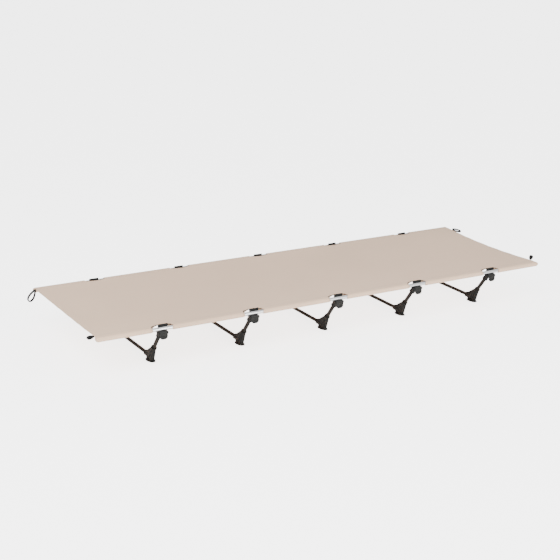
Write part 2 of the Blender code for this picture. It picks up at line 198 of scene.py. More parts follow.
def add_studio():
    bm = bmesh.new()
    bmesh.ops.create_grid(bm, x_segments=2, y_segments=2, size=40)
    floor = linked("floor", bm)
    floor.data.materials.append(floor_paint())
    world = bpy.data.worlds.new("studio")
    world.use_nodes = True
    background = world.node_tree.nodes["Background"]
    background.inputs["Color"].default_value = (1, 1, 1, 1)
    glow_apart(world.node_tree, WORLD_GLOW, background.inputs["Strength"])
    bpy.context.scene.world = world
    add_light("key", (-2.4, -1.8, 2.8), (-0.2, 0, 0.1), 2.5, 120)
    add_light("fill", (0.5, -3.5, 0.8), (0, 0, 0.1), 2.0, 75)


# Materials


class Paint:
    """A Principled material that is built up with nodes."""

    def __init__(self, name, metallic=0.0, sheen=0.0, specular=0.5):
        self.material = bpy.data.materials.new(name)
        self.material.use_nodes = True
        self.tree = self.material.node_tree
        self.shader = self.tree.nodes["Principled BSDF"]
        self.shader.inputs["Metallic"].default_value = metallic
        self.shader.inputs["Sheen Weight"].default_value = sheen
        self.shader.inputs["Specular IOR Level"].default_value = specular

    def node(self, kind, values=(), **settings):
        made = self.tree.nodes.new("ShaderNode" + kind)
        for key, value in settings.items():
            setattr(made, key, value)
        for socket, value in dict(values).items():
            if isinstance(value, bpy.types.NodeSocket):
                self.tree.links.new(value, made.inputs[socket])
            else:
                made.inputs[socket].default_value = value
        return made

    def math(self, operation, first, second=0.0):
        return self.node("Math", {0: first, 1: second}, operation=operation).outputs[0]

    def half_up(self, wave, share=0.5):
        """A wave round 0, made smaller by share and lifted to lie round a half."""
        values = {0: wave, 1: share, 2: 0.5}
        return self.node("Math", values, operation="MULTIPLY_ADD").outputs[0]

    def place(self, stretch=(1, 1, 1)):
        """A point's place on its piece, stretched so that a pattern runs along an axis."""
        place = self.node("TexCoord").outputs["Object"]
        return self.node("Mapping", {"Vector": place, "Scale": stretch}).outputs[0]

    def speckle(self, scale, detail=3.0, stretch=(1, 1, 1)):
        """A cloudy pattern from 0 to 1."""
        values = {"Vector": self.place(stretch), "Scale": scale, "Detail": detail}
        return self.node("TexNoise", values).outputs["Fac"]

    def ramp(self, factor, low, high, start=0.3, end=0.7):
        """A colour or a grey that goes from low to high as factor goes from start to end."""
        made = self.node("ValToRGB", {"Fac": factor})
        for element, value, at in zip(made.color_ramp.elements, (low, high), (start, end)):
            element.position = at
            element.color = (*value, 1) if isinstance(value, tuple) else (value, value, value, 1)
        return made.outputs["Color"]

    def mix(self, factor, first, second, blend="MIX"):
        made = self.node("Mix", data_type="RGBA", blend_type=blend)
        for socket, value in ((0, factor), (6, first), (7, second)):
            if isinstance(value, bpy.types.NodeSocket):
                self.tree.links.new(value, made.inputs[socket])
            else:
                made.inputs[socket].default_value = value
        return made.outputs[2]

    def finish(self, colour, roughness, bumps):
        """bumps are pairs of a height from 0 to 1 and its size in metres."""
        self.tree.links.new(colour, self.shader.inputs["Base Color"])
        self.tree.links.new(roughness, self.shader.inputs["Roughness"])
        normal = None
        for height, size in bumps:
            values = {"Height": height, "Distance": size, "Strength": 1.0}
            if normal is not None:
                values["Normal"] = normal
            normal = self.node("Bump", values).outputs[0]
        self.tree.links.new(normal, self.shader.inputs["Normal"])
        return self.material


def weave(paint, pitch):
    """Heights from 0 to 1 of a plain weave with threads pitch apart, over the cloth's flat map."""
    flat = paint.node("SeparateXYZ", {0: paint.node("UVMap", uv_map="cloth").outputs[0]})
    waves = [
        paint.math("SINE", paint.math("MULTIPLY", flat.outputs[i], math.pi / pitch)) for i in (0, 1)
    ]
    return paint.half_up(paint.math("MULTIPLY", *waves))


def floor_paint():
    """A white studio floor, lit from behind: it glows more to the eye than on the cot."""
    paint = Paint("studio_floor")
    colour = paint.ramp(paint.speckle(0.7), 0.93, 0.96)
    paint.shader.inputs["Emission Color"].default_value = (1, 1, 1, 1)
    glow_apart(paint.tree, FLOOR_GLOW, paint.shader.inputs["Emission Strength"])
    return paint.finish(colour, paint.ramp(paint.speckle(5), 0.6, 0.7), [(paint.speckle(40), 0.0001)])


def cloth_paint(name, light, dark, pitch=0.0006):
    """Woven polyester: threads, slubs along the weft, and tones that drift over the sheet."""
    paint = Paint(name, sheen=0.12)
    threads = weave(paint, pitch)
    tone = paint.ramp(paint.speckle(2.2, 2.0), dark, light, 0.35, 0.65)
    slubs = paint.ramp(paint.speckle(1.0, 2.0, (5, 900, 900)), 0.955, 1.0, 0.35, 0.65)
    grain = paint.ramp(threads, 0.90, 1.0, 0.1, 0.9)
    colour = paint.mix(1.0, paint.mix(1.0, tone, slubs, "MULTIPLY"), grain, "MULTIPLY")
    roughness = paint.ramp(paint.speckle(30), 0.78, 0.9)
    return paint.finish(colour, roughness, [(paint.speckle(9, 3.0), 0.0010), (threads, 0.00012)])


def aluminium_paint():
    """Clear anodised tube with draw lines along it."""
    paint = Paint("rail_aluminium", metallic=1.0)
    lines = paint.speckle(1.0, 3.0, (12, 1400, 1400))
    colour = paint.ramp(lines, (0.74, 0.75, 0.76), (0.90, 0.90, 0.90))
    return paint.finish(colour, paint.ramp(lines, 0.42, 0.24), [(lines, 0.00003)])


def tube_paint():
    """Dark bronze anodised tube, rubbed a little lighter in places."""
    paint = Paint("leg_tube", metallic=0.2, specular=0.15)
    lines = paint.speckle(1.0, 3.0, (900, 14, 900))
    rubbed = paint.ramp(paint.speckle(45, 4.0), 0.0, 1.0, 0.60, 0.78)
    ground = paint.ramp(lines, (0.014, 0.012, 0.010), (0.024, 0.020, 0.017))
    colour = paint.mix(rubbed, ground, (0.040, 0.035, 0.030, 1))
    return paint.finish(colour, paint.ramp(lines, 0.50, 0.62), [(lines, 0.00002)])


def plastic_paint(name, ground, scuffed, rough=0.5):
    """Moulded plastic: a fine spark-eroded grain, with some scuffs."""
    paint = Paint(name, specular=0.2)
    grain = paint.speckle(1500, 2.0)
    scuffs = paint.ramp(paint.speckle(70, 5.0), 0.0, 1.0, 0.60, 0.80)
    tone = paint.ramp(paint.speckle(25, 2.0), tuple(0.8 * c for c in ground), ground)
    colour = paint.mix(scuffs, tone, (*scuffed, 1))
    roughness = paint.ramp(paint.speckle(60, 3.0), rough - 0.06, rough + 0.1)
    return paint.finish(colour, roughness, [(grain, 0.00004)])


def webbing_paint(name="black_webbing", low=0.003, high=0.014):
    """Woven tape: a rib for each weft thread and finer warp threads along it."""
    paint = Paint(name, sheen=0.05, specular=0.2)
    flat = paint.node("SeparateXYZ", {0: paint.node("UVMap", uv_map="cloth").outputs[0]})
    ribs = paint.math("SINE", paint.math("MULTIPLY", flat.outputs[0], 2 * math.pi / 0.0011))
    warps = paint.math("SINE", paint.math("MULTIPLY", flat.outputs[1], 2 * math.pi / 0.0007))
    both = paint.half_up(paint.math("ADD", ribs, warps), 0.25)
    colour = paint.ramp(both, low, high, 0.0, 1.0)
    return paint.finish(colour, paint.ramp(paint.speckle(80), 0.7, 0.85), [(both, 0.0003)])


def thread_paint(name, light, dark):
    """Sewing thread, twisted."""
    paint = Paint(name)
    twist = paint.speckle(1.0, 2.0, (2200, 2200, 600))
    return paint.finish(paint.ramp(twist, dark, light), paint.ramp(twist, 0.6, 0.8), [(twist, 0.0001)])


# Building blocks


def linked(name, bm, smooth=math.radians(40)):
    mesh = bpy.data.meshes.new(name)
    bm.to_mesh(mesh)
    bm.free()
    made = bpy.data.objects.new(name, mesh)
    bpy.context.scene.collection.objects.link(made)
    mesh.shade_smooth()
    mesh.set_sharp_from_angle(angle=smooth)
    return made


def baked(made):
    """Turns a piece's modifiers into its mesh."""
    graph = bpy.context.evaluated_depsgraph_get()
    graph.update()
    mesh = bpy.data.meshes.new_from_object(made.evaluated_get(graph))
    made.modifiers.clear()
    made.data = mesh
    return made


def copy_of(made, name, turn=None):
    """Another piece with the same mesh, moved by turn."""
    copy = bpy.data.objects.new(name, made.data.copy())
    bpy.context.scene.collection.objects.link(copy)
    if turn is not None:
        copy.data.transform(turn)
    return copy


def add_bar(bm, start, end, radius, sides=40, chamfer=0.0):
    """A round bar from start to end, with its ends chamfered."""
    start, end = Vector(start), Vector(end)
    along = end - start
    turn = along.to_track_quat("Z", "Y").to_matrix().to_4x4()
    place = Matrix.Translation((start + end) / 2) @ turn
    made = bmesh.ops.create_cone(
        bm, cap_ends=True, segments=sides, radius1=radius, radius2=radius, depth=along.length, matrix=place,
    )
    if chamfer:
        rims = [e for e in {e for v in made["verts"] for e in v.link_edges} if len(e.link_faces) == 2]
        rims = [e for e in rims if any(len(f.verts) == sides for f in e.link_faces)]
        bmesh.ops.bevel(bm, geom=rims, offset=chamfer, segments=2, profile=0.5, affect="EDGES")


def add_block(bm, low, high):
    low, high = Vector(low), Vector(high)
    corners = [Vector(min(p) for p in zip(low, high)), Vector(max(p) for p in zip(low, high))]
    size = Matrix.Diagonal((*(corners[1] - corners[0]), 1))
    bmesh.ops.create_cube(bm, size=1, matrix=Matrix.Translation(sum(corners, Vector()) / 2) @ size)


def add_oval(bm, centre, half_x, half_y, height, taper=0.0, sides=48):
    made = bmesh.ops.create_cone(bm, cap_ends=True, segments=sides, radius1=1, radius2=1, depth=height)
    for vertex in made["verts"]:
        less = taper if vertex.co.z > 0 else 0.0
        vertex.co.x *= half_x - less
        vertex.co.y *= half_y - less
        vertex.co += Vector(centre) + UP * height / 2


def add_plate(bm, outline, thickness, frame_matrix):
    """A flat outline in XY, thickened evenly both ways and then placed by frame_matrix."""
    half = Vector((0, 0, thickness / 2))
    rings = []
    for offset in (-half, half):
        rings.append([bm.verts.new(frame_matrix @ (Vector((x, y, 0)) + offset)) for x, y in outline])
    bm.faces.new(reversed(rings[0]))
    bm.faces.new(rings[1])
    for i, low in enumerate(rings[0]):
        after = (i + 1) % len(outline)
        bm.faces.new((low, rings[0][after], rings[1][after], rings[1][i]))


def moulded(name, add, cut, voxel, keep):
    """A moulding: what add puts together, less what cut takes away, with every edge softened."""
    blanks = []
    for fill in (add, cut):
        bm = bmesh.new()
        fill(bm)
        bmesh.ops.recalc_face_normals(bm, faces=bm.faces)
        blanks.append(linked(name, bm))
    made, cutter = blanks
    cutter.hide_render = True
    joined = made.modifiers.new("joined", "REMESH")
    joined.mode = "VOXEL"
    joined.voxel_size = voxel
    taken = made.modifiers.new("taken", "BOOLEAN")
    taken.object = cutter
    taken.operation = "DIFFERENCE"
    taken.use_self = True
    softened = made.modifiers.new("softened", "REMESH")
    softened.mode = "VOXEL"
    softened.voxel_size = voxel
    relaxed = made.modifiers.new("relaxed", "SMOOTH")
    relaxed.factor = 0.5
    relaxed.iterations = 3
    thinned = made.modifiers.new("thinned", "DECIMATE")
    thinned.ratio = keep
    baked(made)
    bpy.data.objects.remove(cutter)
    made.data.shade_smooth()
    return made


def swept(name, path, normals, width, thickness, closed=False, end_taper=1.0):
    """A tape along path that lies square to normals, with rounded edges and a flat map in metres."""
    section = []
    steps = 12
    for i in range(steps):
        turn = 2 * math.pi * (i + 0.5) / steps
        across, out = math.cos(turn), math.sin(turn)
        section.append((
            math.copysign(abs(across) ** 0.5, across) * width / 2,
            math.copysign(abs(out) ** 0.6, out) * thickness / 2,
        ))
    bm = bmesh.new()
    flat = bm.loops.layers.uv.new("cloth")
    rings, reach, far = [], 0.0, []
    last = len(path) - 1
    for i, point in enumerate(path):
        before = path[i - 1] if i or closed else point
        after = path[(i + 1) % len(path)] if i < last or closed else point
        along = (after - before).normalized()
        side = normals[i].cross(along).normalized()
        out = along.cross(side)
        share = end_taper if not closed and i in (0, last) else 1.0
        rings.append([bm.verts.new(point + side * a * share + out * b) for a, b in section])
        far.append(reach)
        reach += (path[(i + 1) % len(path)] - point).length
    pairs = list(range(len(path))) if closed else list(range(last))
    for i in pairs:
        one, two = rings[i], rings[(i + 1) % len(path)]
        start, end = far[i], far[i] + (path[(i + 1) % len(path)] - path[i]).length
        for k in range(steps):
            k2 = (k + 1) % steps
            face = bm.faces.new((one[k], one[k2], two[k2], two[k]))
            across = [section[k][0], section[k2][0]]
            spots = ((start, across[0]), (start, across[1]), (end, across[1]), (end, across[0]))
            for corner, spot in zip(face.loops, spots):
                corner[flat].uv = spot
    if not closed:
        bm.faces.new(reversed(rings[0]))
        bm.faces.new(rings[-1])
    bmesh.ops.recalc_face_normals(bm, faces=bm.faces)
    return linked(name, bm, math.radians(60))


def stitched(name, rows):
    """Rows of stitches in one piece. A row is a list of (middle, direction, up) for its stitches."""
    template = bmesh.new()
    bmesh.ops.create_uvsphere(template, u_segments=6, v_segments=4, radius=0.5)
    stretch = Matrix.Diagonal((THREAD, THREAD, STITCH, 1))
    bmesh.ops.transform(template, matrix=stretch, verts=template.verts)
    spots = [v.co.copy() for v in template.verts]
    faces = [[v.index for v in f.verts] for f in template.faces]
    template.free()
    points, corners = [], []
    for row in rows:
        for middle, along, up in row:
            side = up.cross(along).normalized()
            turn = Matrix((side, up, along)).transposed()
            start = len(points)
            points += [middle + turn @ spot for spot in spots]
            corners += [[start + i for i in face] for face in faces]
    mesh = bpy.data.meshes.new(name)
    mesh.from_pydata(points, [], corners)
    mesh.shade_smooth()
    made = bpy.data.objects.new(name, mesh)
    bpy.context.scene.collection.objects.link(made)
    return made


def settle(made, body, paint, slot, *nodes):
    """Paints a piece, puts it on its body and has it stand for nodes."""
    made.data.materials.clear()
    made.data.materials.append(paint)
    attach(made, body)
    if nodes:
        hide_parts(*nodes)
    return made


# The sheet. A point on it is named by x along the bed and a row across it


def smoothstep(t):
    t = min(max(t, 0.0), 1.0)
    return t * t * (3 - 2 * t)


def slot_turns():
    return [math.pi / 2 * k / SLOT_STEPS for k in range(SLOT_STEPS + 1)]


SEAM = SLOT_DEPTH * math.cos(math.pi / 2 * SEAM_STEP / SLOT_STEPS)  # inboard of the rail's axis


def sleeve_rows():
    """The front sleeve's rows as (inboard, up) from the rail's axis, from the seam underneath,
    round the rail and back along the top to the slots' inboard ends."""
    inboard = [SLOT_DEPTH * math.cos(turn) for turn in slot_turns()]
    below = inboard[SEAM_STEP:-1]
    tangent = below[-1]
    low = -math.sqrt(SLEEVE_RADIUS**2 - tangent**2)
    high = SLEEVE_RADIUS - 1.6 * CLOTH
    rows = [(q, low + (high - low) * ((q - tangent) / (SEAM - tangent)) ** 1.15) for q in below]
    for i in range(9):
        turn = math.radians(-90 - 180 * i / 8)
        rows.append((SLEEVE_RADIUS * math.cos(turn), SLEEVE_RADIUS * math.sin(turn)))
    return rows + [(q, SLEEVE_RADIUS) for q in reversed(inboard[:-1])]


def cloth_rows():
    """Every row as (y, z, inboard distance from its rail or None), from front to back."""
    front = [(-HALF_WIDTH + q, RAIL_POINT.z + up, q) for q, up in sleeve_rows()]
    back = [(-y, z, q) for y, z, q in reversed(front)]
    inner = HALF_WIDTH - SLOT_DEPTH
    count = round(2 * inner / CELL)
    top = RAIL_POINT.z + SLEEVE_RADIUS
    flat = [(-inner + 2 * inner * i / count, top, None) for i in range(1, count)]
    return front + flat + back


def cloth_columns():
    """Values of x: through the slots' own steps, evenly between them, and closer at the ends."""
    half = SLOT_LENGTH / 2
    turns = [-t for t in reversed(slot_turns()[1:])] + slot_turns()
    columns = [x + half * math.sin(t) for x in LEG_X for t in turns]
    marks = [(a + half, b - half) for a, b in zip(LEG_X, LEG_X[1:])]
    tips = [0.0, 0.0004, 0.0012, 0.0024, 0.004, 0.006, 0.009, 0.013]
    marks += [(LEG_X[-1] + half, HALF_LENGTH - tips[-1]), (-HALF_LENGTH + tips[-1], LEG_X[0] - half)]
    for start, end in marks:
        count = round((end - start) / CELL)
        columns += [start + (end - start) * i / count for i in range(1, count)]
    columns += [sign * (HALF_LENGTH - tip) for tip in tips for sign in (-1, 1)]
    return sorted(columns)


def end_edge(y, end):
    """How far from the bed's middle the sheet ends at y; the sleeves' tips stand out past it.
    The end is 1 on the right and -1 on the left."""
    across = y / HALF_WIDTH
    edge = HALF_LENGTH - CORNER_INSET - END_CURVES[end] * (1 - across**2)
    beyond = smoothstep((abs(y) - HALF_WIDTH + TIP_START) / TIP_BLEND)
    return edge + (HALF_LENGTH - edge) * beyond


def near_end(x, y):
    """x drawn in with the sheet's end edge."""
    start = HALF_LENGTH - 0.10
    if abs(x) <= start:
        return x
    share = (abs(x) - start) / (HALF_LENGTH - start)
    return math.copysign(start + share * (end_edge(y, 1 if x > 0 else -1) - start), x)


def sag(x, y):
    """How far the sheet's top is off level: sag, slow waves, creases at its ends and at the slots."""
    across = y / (HALF_WIDTH - SLOT_DEPTH)
    if abs(across) >= 1:
        return 0.0
    hold = 1 - across**4
    drop = -SAG * (1 - across**2)
    slow = SLOW_WAVE * noise.noise(Vector((2.4 * x, 3.5 * y, 0.3)))
    from_end = end_edge(y, 1 if x > 0 else -1) - abs(x)
    phase = 2.2 * noise.noise(Vector((x, 6 * y, 4.0)))
    ripple = RIPPLE * math.exp(-from_end / RIPPLE_FADE)
    ripple *= math.sin(2 * math.pi * y / RIPPLE_PITCH + phase)
    pull = 0.0
    inboard = HALF_WIDTH - SLOT_DEPTH - abs(y)
    for leg in LEG_X:
        along = x - leg
        if abs(along) < CREASE_END:
            fade = math.exp(-inboard / CREASE_FADE) * math.exp(-((along / CREASE_REACH) ** 2))
            pull += CREASE * math.cos(2 * math.pi * along / CREASE_PITCH) * fade
    return drop + hold * (slow + ripple + pull * min(1.0, inboard / CREASE_START))


def cloth_point(x, y, z, inboard):
    """Where a row's point at x is, with the sleeves' tips closed and the slots' rims in line."""
    if inboard is not None and inboard < 0:
        half = SLOT_LENGTH / 2
        rim = half * math.sqrt(1 - (inboard / SLOT_DEPTH) ** 2)
        for leg in LEG_X:
            if abs(abs(x - leg) - half) < 1e-6:
                x = leg + math.copysign(rim, x - leg)
    where = near_end(x, y)
    if inboard is None:
        return Vector((where, y, z + sag(where, y)))
    closing = max(0.0, (abs(x) - HALF_LENGTH + TIP_CLOSING) / TIP_CLOSING)
    if closing > 0:
        shut = math.sqrt(max(0.0, 1 - closing**2)) * (1 - TIP_OPEN) + TIP_OPEN
        weight = 1 - smoothstep((inboard - TIP_FULL) / (SLOT_DEPTH - TIP_FULL))
        middle = RAIL_POINT.z + TIP_RISE
        z = z + (middle + (z - middle) * shut - z) * weight
        narrow = TIP_NARROW + (1 - TIP_NARROW) * shut if inboard < 0 else 1
        out = HALF_WIDTH - inboard * narrow
        y = math.copysign(out, y)
    return Vector((where, y, z))


def cloth_mesh():
    """The sheet and its sleeves as one surface, with the slots left out."""
    rows, columns = cloth_rows(), cloth_columns()
    bm = bmesh.new()
    flat = bm.loops.layers.uv.new("cloth")
    grid, reach = [], [0.0]
    for (y0, z0, _), (y1, z1, _) in zip(rows, rows[1:]):
        reach.append(reach[-1] + math.hypot(y1 - y0, z1 - z0))
    for y, z, inboard in rows:
        grid.append([bm.verts.new(cloth_point(x, y, z, inboard)) for x in columns])

    def inside(r, c):
        """0 outside every slot, 1 on a slot's rim and 2 in it."""
        inboard = rows[r][2]
        if inboard is None:
            return 0
        best = 0
        for leg in LEG_X:
            along = abs(columns[c] - leg) / (SLOT_LENGTH / 2)
            if along > 1 + 1e-6:
                continue
            ring = along**2 + max(0.0, inboard / SLOT_DEPTH) ** 2
            best = 2 if ring < 1 - 1e-6 else 1 if ring < 1 + 1e-6 else 0
        return best

    def add(spots):
        face = bm.faces.new([grid[r][c] for r, c in spots])
        for corner, (r, c) in zip(face.loops, spots):
            corner[flat].uv = (columns[c], reach[r])

    for r in range(len(rows) - 1):
        for c in range(len(columns) - 1):
            spots = [(r, c), (r, c + 1), (r + 1, c + 1), (r + 1, c)]
            state = [inside(*spot) for spot in spots]
            if min(state) >= 1:
                continue
            if 2 in state:
                add([spot for spot, s in zip(spots, state) if s < 2])
            else:
                add(spots)
    loose = [v for v in bm.verts if not v.link_faces]
    bmesh.ops.delete(bm, geom=loose, context="VERTS")
    area = sum(f.calc_area() for f in bm.faces)
    return bm, area, reach[-1]


def on_sheet(x, y, above=0.0):
    return Vector((x, y, RAIL_POINT.z + SLEEVE_RADIUS + CLOTH / 2 + sag(x, y) + above))


def in_slot(x, y):
    inboard = HALF_WIDTH - abs(y)
    return any(
        math.hypot((x - leg) / (SLOT_LENGTH / 2 + SLOT_MARGIN), inboard / (SLOT_DEPTH + SLOT_MARGIN)) < 1
        for leg in LEG_X
    )


def seam_rows():
    """Stitches along both sleeves' seams, two rows each, and along the hem of each end."""
    rows = []
    for side in SIDES.values():
        for inward in SEAM_PAIR:
            y = side * (HALF_WIDTH - (SEAM + inward))
            start, end = EDGE_MARGIN - end_edge(y, -1), end_edge(y, 1) - EDGE_MARGIN
            count = int((end - start) / STITCH_PITCH)
            spots = [start + STITCH_PITCH * (i + 0.5) for i in range(count)]
            rows.append([(on_sheet(x, y), Vector((1, 0, 0)), UP) for x in spots if not in_slot(x, y)])
    limit = HALF_WIDTH - SLOT_DEPTH
    count = int(2 * limit / STITCH_PITCH)
    for end in ENDS.values():
        for inward in (EDGE_MARGIN, HEM - EDGE_MARGIN):
            ys = [-limit + STITCH_PITCH * (i + 0.5) for i in range(count)]
            points = [on_sheet(end * (end_edge(y, end) - inward), y) for y in ys]
            steps = [(b - a).normalized() for a, b in zip(points, points[1:])]
            rows.append([(p, s, UP) for p, s in zip(points, steps)])
    return rows


def binding_path(leg):
    """Along a front slot's inboard rim, from where it leaves the rail to where it comes back."""
    turns = [math.radians(angle) for angle in range(-65, 66, 5)]
    rim = [(math.sin(t) * SLOT_LENGTH / 2, math.cos(t) * SLOT_DEPTH) for t in turns]
    return [Vector((leg + x, RAIL_POINT.y + q, RAIL_POINT.z + SLEEVE_RADIUS)) for x, q in rim]


def hem_mesh(name, end):
    """The end hem's fold: round the sheet's edge and back underneath it."""
    limit = HALF_WIDTH - SLOT_DEPTH - 0.001
    count = 60
    profile = [(0.002, -0.0001), (0.0006, 0.0001), (-0.0004, -0.0003), (-0.0006, -0.0009)]
    profile += [(-0.0003, -0.0015), (0.0010, -0.0018), (0.006, -0.0016), (HEM, -0.0015)]
    bm = bmesh.new()
    flat = bm.loops.layers.uv.new("cloth")
    rings = []
    for i in range(count + 1):
        y = -limit + 2 * limit * i / count
        edge = end_edge(y, end)
        rings.append([
            bm.verts.new((end * (edge - u), y, on_sheet(end * (edge - max(u, 0)), y).z + dz - CLOTH / 2))
            for u, dz in profile
        ])
    for one, two in zip(rings, rings[1:]):
        for k in range(len(profile) - 1):
            face = bm.faces.new((one[k], one[k + 1], two[k + 1], two[k]))
            for corner in face.loops:
                corner[flat].uv = (corner.vert.co.x, corner.vert.co.y)
    bmesh.ops.recalc_face_normals(bm, faces=bm.faces)
    made = linked(name, bm)
    thick = made.modifiers.new("cloth", "SOLIDIFY")
    thick.thickness = 0.7 * CLOTH
    thick.offset = 0
    return baked(made)


def add_sheet(cloth, thread, binding):
    bm, area, width = cloth_mesh()
    bmesh.ops.recalc_face_normals(bm, faces=bm.faces)
    sheet = linked("bed_sheet", bm, math.radians(60))
    thick = sheet.modifiers.new("cloth", "SOLIDIFY")
    thick.thickness = CLOTH
    thick.offset = 0
    baked(sheet)
    settle(sheet, "bed", cloth, "cot_fabric", "fabric")
    stitches = settle(stitched("seam_stitches", seam_rows()), "bed", thread, "cot_fabric")
    for end_name, end in ENDS.items():
        settle(hem_mesh(f"{end_name}_end_hem", end), "bed", cloth, "cot_fabric")
    for number, leg in enumerate(LEG_X, 1):
        path = binding_path(leg)
        normals = [UP] * len(path)
        front = swept(f"front_slot_binding_{number}", path, normals, BINDING_WIDTH, BINDING)
        back = copy_of(front, f"back_slot_binding_{number}", HALF_TURN)
        if abs(leg) > 1e-6:
            back.data.transform(Matrix.Translation((2 * leg, 0, 0)))
        for made in (front, back):
            settle(made, "bed", binding, "black_webbing")


# The rails


def add_rails(metal):
    """Each rail section: a tube with chamfered ends and, but for the last, a spigot in the next."""
    for side in SIDES:
        for i in range(1, 6):
            node = f"{side}_rail_section_{i}"
            low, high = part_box(node)
            spigot = SPIGOT_LENGTH if i < 5 else 0.0
            end = high.x - spigot
            axis = Vector((0, (low.y + high.y) / 2, (low.z + high.z) / 2))
            bore, edge = RAIL_RADIUS - RAIL_WALL, RAIL_CHAMFER
            profile = [(RAIL_RADIUS - edge, 0), (bore, 0)]
            if spigot:
                outer, inner = bore - GAP, bore - GAP - SPIGOT_WALL
                profile += [(bore, end - low.x - spigot), (inner, end - low.x - spigot)]
                profile += [(inner, high.x - low.x), (outer - edge, high.x - low.x)]
                profile += [(outer, high.x - low.x - edge), (outer, end - low.x)]
            else:
                profile += [(bore, end - low.x)]
            length = end - low.x
            profile += [(RAIL_RADIUS - edge, length), (RAIL_RADIUS, length - edge), (RAIL_RADIUS, edge)]
            bm = bmesh.new()
            corners = [bm.verts.new((radius, 0, along)) for radius, along in profile]
            for first, second in zip(corners, corners[1:] + corners[:1]):
                bm.edges.new((first, second))
            made = linked(f"{side}_rail_{i}", bm)
            turned = made.modifiers.new("turned", "SCREW")
            turned.steps = turned.render_steps = 48
            turned.merge_threshold = 1e-6
            turned.use_merge_vertices = True
            baked(made)
            start = Matrix.Translation(axis + Vector((low.x, 0, 0)))
            made.data.transform(start @ Matrix.Rotation(math.pi / 2, 4, "Y"))
            made.data.shade_smooth()
            made.data.set_sharp_from_angle(angle=math.radians(30))
            settle(made, "bed", metal, "rail_aluminium", node)


# A leg's front half at X = 0


def at_strut(distance, across=0.0):
    return NODE + STRUT_LINE * distance + ACROSS_STRUT * across


def at_rail(out, up):
    return RAIL_POINT + Vector((0, -out, up))


def upright(x):
    """Turns an outline in XY into one in the leg's YZ plane, placed at x."""
    return Matrix(((0, 0, 1, x), (1, 0, 0, 0), (0, 1, 0, 0), (0, 0, 0, 1)))


def tube(name, start, end, radius):
    bm = bmesh.new()
    add_bar(bm, start, end, radius, 40, TUBE_CHAMFER)
    return linked(name, bm, math.radians(50))


def web_outline(inset=0.0):
    """The hub's web between its foot and its two sockets, or a smaller outline inside it."""
    rod_mouth = NODE + Vector((0, ROD_SOCKET_REACH, 0))
    heel = FOOT_LENGTH / 2 - 2 * FOOT_TAPER
    below_mouth = STRUT_SOCKET_REACH - COLLAR_SET
    corners = [
        NODE + Vector((0, -heel, FOOT_HEIGHT / 2 - NODE.z)),
        NODE + Vector((0, heel, FOOT_HEIGHT / 2 - NODE.z)),
        rod_mouth + Vector((0, -COLLAR_SET, 0)),
        rod_mouth + Vector((0, -COLLAR_SET, ROD_RADIUS)),
        at_strut(below_mouth, STRUT_RADIUS),
        at_strut(below_mouth, -STRUT_RADIUS),
    ]
    middle = sum(corners, Vector()) / len(corners)
    return [(c.y, c.z) for c in (middle + (c - middle) * (1 - inset) for c in corners)]


def hub_added(bm):
    rod_mouth = NODE + Vector((0, ROD_SOCKET_REACH, 0))
    add_oval(bm, (0, NODE.y, SOLE), FOOT_WIDTH / 2, FOOT_LENGTH / 2, FOOT_HEIGHT - SOLE, FOOT_TAPER)
    add_plate(bm, web_outline(), WEB, upright(0))
    add_bar(bm, NODE, rod_mouth, ROD_RADIUS + SOCKET_WALL)
    add_bar(bm, NODE, at_strut(STRUT_SOCKET_REACH), STRUT_RADIUS + SOCKET_WALL)
    thick = SOCKET_WALL + COLLAR_RISE
    add_bar(bm, rod_mouth - Vector((0, COLLAR, 0)), rod_mouth, ROD_RADIUS + thick)
    mouth = at_strut(STRUT_SOCKET_REACH)
    add_bar(bm, mouth - STRUT_LINE * COLLAR, mouth, STRUT_RADIUS + thick)


def hub_cut(bm):
    rod_mouth = NODE + Vector((0, ROD_SOCKET_REACH, 0))
    rod_end, past_mouth = Vector((0, SOCKET_INSERT, 0)), Vector((0, CUT_PAST, 0))
    add_bar(bm, rod_mouth - rod_end, rod_mouth + past_mouth, ROD_RADIUS + GAP)
    inner = at_strut(STRUT_SOCKET_REACH - SOCKET_INSERT)
    add_bar(bm, inner, at_strut(STRUT_SOCKET_REACH + CUT_PAST), STRUT_RADIUS + GAP)
    pocket = [
        at_strut(0.030, 0.0125), at_strut(0.040, 0.0105), Vector((0, NODE.y + 0.030, NODE.z + 0.012)),
        Vector((0, NODE.y + 0.018, NODE.z + 0.012)),
    ]
    for side in (-1, 1):
        add_plate(bm, [(p.y, p.z) for p in pocket], 0.004, upright(side * WEB / 2))


def sole_mesh():
    """The foot's rubber sole, a little wider than the hub, with grooves across its tread."""
    bm = bmesh.new()
    half_x, half_y = FOOT_WIDTH / 2 + SOLE_FLANGE, FOOT_LENGTH / 2 + SOLE_FLANGE
    add_oval(bm, (0, NODE.y, 0), half_x, half_y, SOLE, SOLE_FLANGE)
    made = linked("sole", bm)
    bm = bmesh.new()
    for i in range(-4, 5):
        y = NODE.y + TREAD_PITCH * i
        low = (-FOOT_WIDTH, y - TREAD_GROOVE, -TREAD_DEPTH)
        add_block(bm, low, (FOOT_WIDTH, y + TREAD_GROOVE, TREAD_DEPTH))
    cutter = linked("grooves", bm)
    cut = made.modifiers.new("grooves", "BOOLEAN")
    cut.object = cutter
    cut.operation = "DIFFERENCE"
    rounded = made.modifiers.new("rounded", "BEVEL")
    rounded.width = 0.0003
    rounded.segments = 2
    rounded.limit_method = "ANGLE"
    baked(made)
    bpy.data.objects.remove(cutter)
    return made


